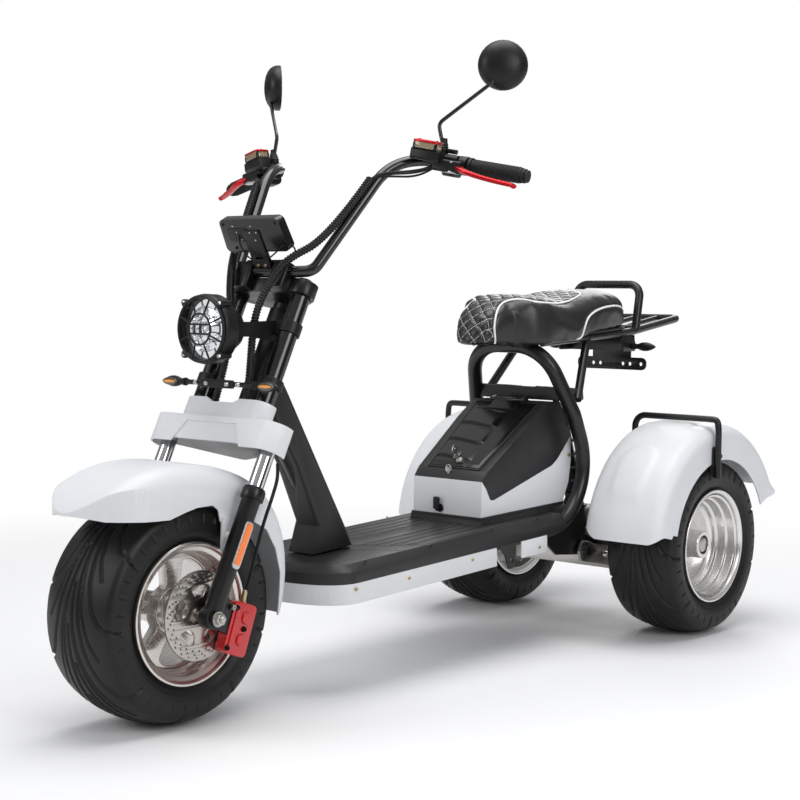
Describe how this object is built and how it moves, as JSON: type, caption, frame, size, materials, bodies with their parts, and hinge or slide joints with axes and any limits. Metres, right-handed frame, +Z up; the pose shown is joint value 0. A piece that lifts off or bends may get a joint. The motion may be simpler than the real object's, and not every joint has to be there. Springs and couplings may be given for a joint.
{
  "type": "electric tricycle",
  "caption": "Fat-tyred electric tricycle with a raked fork, flat footboard, battery box with a lid, hoop-carried saddle, fenders and a rear rack.",
  "frame": {"origin": "centre of the underside of the bounding box: on the floor, midway along the vehicle and across it", "axes": "+X to the vehicle's left, -Y to its front, +Z up"},
  "size_m": [0.8834, 2.033, 1.3819],
  "materials": {
    "white_panel": "gloss moulded panel",
    "black_frame": "gloss powder coat",
    "dark_plastic": "grained moulding",
    "black_gloss": "gloss moulding",
    "tyre": "moulded rubber",
    "alloy": "machined and polished",
    "chrome": "polished",
    "steel": "brushed",
    "red_part": "gloss",
    "seat_leather": "stitched, white piping",
    "rubber": "matt",
    "lamp_lens": "clear faceted",
    "amber": "tinted"
  },
  "bodies": {
    "frame": {"battery_pack": "dark_plastic", "belly_pan": "white_panel", "box_cover": "dark_plastic", "box_surround": "white_panel", "drive_motor": "black_frame", "fender_guards": "black_frame", "footboard": "dark_plastic", "main_frame": "black_frame", "neck_column": "dark_plastic", "plate_bracket": "black_frame", "rear_axle": "alloy", "rear_fender_left": "white_panel", "rear_fender_right": "white_panel", "rear_lamps": "amber", "rear_rack": "black_frame", "rear_shocks": "black_frame", "seat_base": "dark_plastic", "seat_cushion": "seat_leather", "side_skirts": "white_panel", "swing_arms": "alloy"},
    "front_wheel": {"front_tyre": "tyre", "front_rim": "alloy", "front_disc": "steel"},
    "rear_wheel_left": {"rear_tyre_left": "tyre", "rear_rim_left": "alloy"},
    "rear_wheel_right": {"rear_tyre_right": "tyre", "rear_rim_right": "alloy"},
    "lid": {"box_lid": "black_gloss"},
    "steering": {"front_axle": "steel", "fork_legs": "black_frame", "stanchions": "chrome", "fork_upper_tubes": "black_frame", "fork_clamps": "black_frame", "clamp_cover": "white_panel", "brake_caliper": "red_part", "brake_hose": "rubber", "handlebar": "black_frame", "grips": "rubber", "master_cylinders": "black_gloss", "brake_levers": "red_part", "switch_pods": "dark_plastic", "mirrors": "black_gloss", "display": "black_gloss", "headlight": "lamp_lens", "front_indicators": "amber", "cable_looms": "rubber", "front_fender": "white_panel"}
  },
  "joints": [
    {"name": "steering_head", "type": "hinge", "parent": "frame", "child": "steering", "pos_m": [0, -0.49122, 0.68644], "axis": [0, 0.4415, 0.8973], "range_deg": [-35, 35]},
    {"name": "front_wheel_spin", "type": "hinge", "parent": "steering", "child": "front_wheel", "pos_m": [0, -0.7745, 0.224], "axis": [1, 0, 0], "continuous": true},
    {"name": "rear_wheel_left_spin", "type": "hinge", "parent": "frame", "child": "rear_wheel_left", "pos_m": [0.299, 0.7135, 0.224], "axis": [1, 0, 0], "continuous": true},
    {"name": "rear_wheel_right_spin", "type": "hinge", "parent": "frame", "child": "rear_wheel_right", "pos_m": [-0.299, 0.7135, 0.224], "axis": [1, 0, 0], "continuous": true},
    {"name": "lid_hinge", "type": "hinge", "parent": "frame", "child": "lid", "pos_m": [0, 0.36371, 0.58849], "axis": [-1, 0, 0], "range_deg": [0, 55]}
  ]
}
